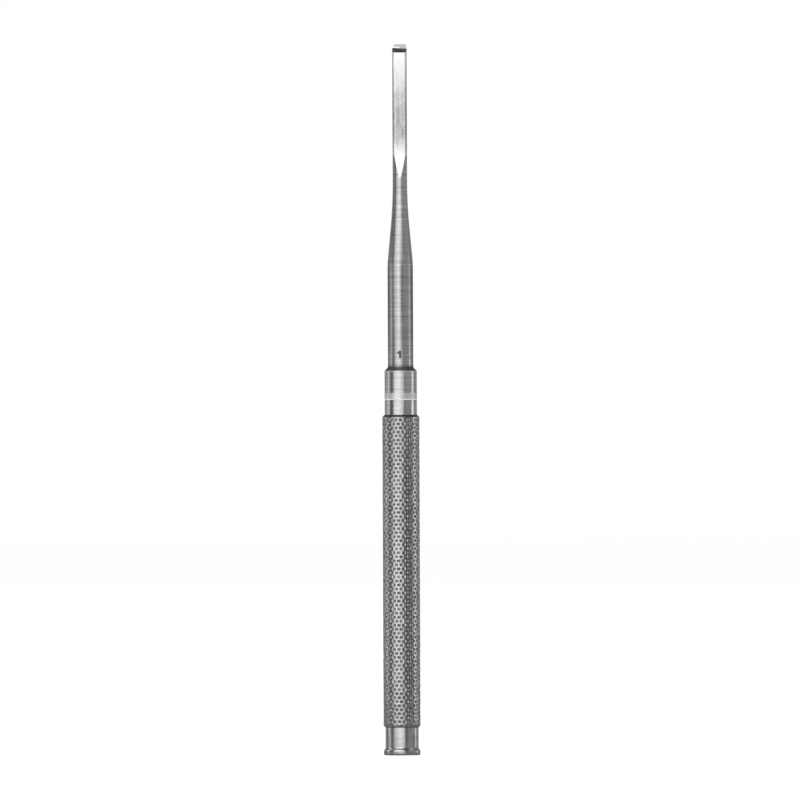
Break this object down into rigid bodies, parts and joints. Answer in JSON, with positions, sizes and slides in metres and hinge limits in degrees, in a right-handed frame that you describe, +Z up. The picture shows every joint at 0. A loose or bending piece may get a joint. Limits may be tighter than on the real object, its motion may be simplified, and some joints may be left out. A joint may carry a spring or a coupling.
{
  "type": "bone chisel",
  "caption": "One-piece steel bone chisel with a knurled round handle, plain collar, tapered neck and narrow flat blade with a single bevel.",
  "frame": {"origin": "centre of the flat striking face, on the surface that the chisel stands on", "axes": "+Z up the axis of the chisel to its cutting edge; the bevel and the front flat of the blade face -Y; the cutting edge lies along X"},
  "size_m": [0.0088, 0.0088, 0.17],
  "materials": {
    "satin_steel": "satin stainless steel, finely turned handle and collar, knurled grip, ground blade"
  },
  "bodies": {
    "root": {"bone_chisel": "satin_steel"}
  },
  "joints": []
}
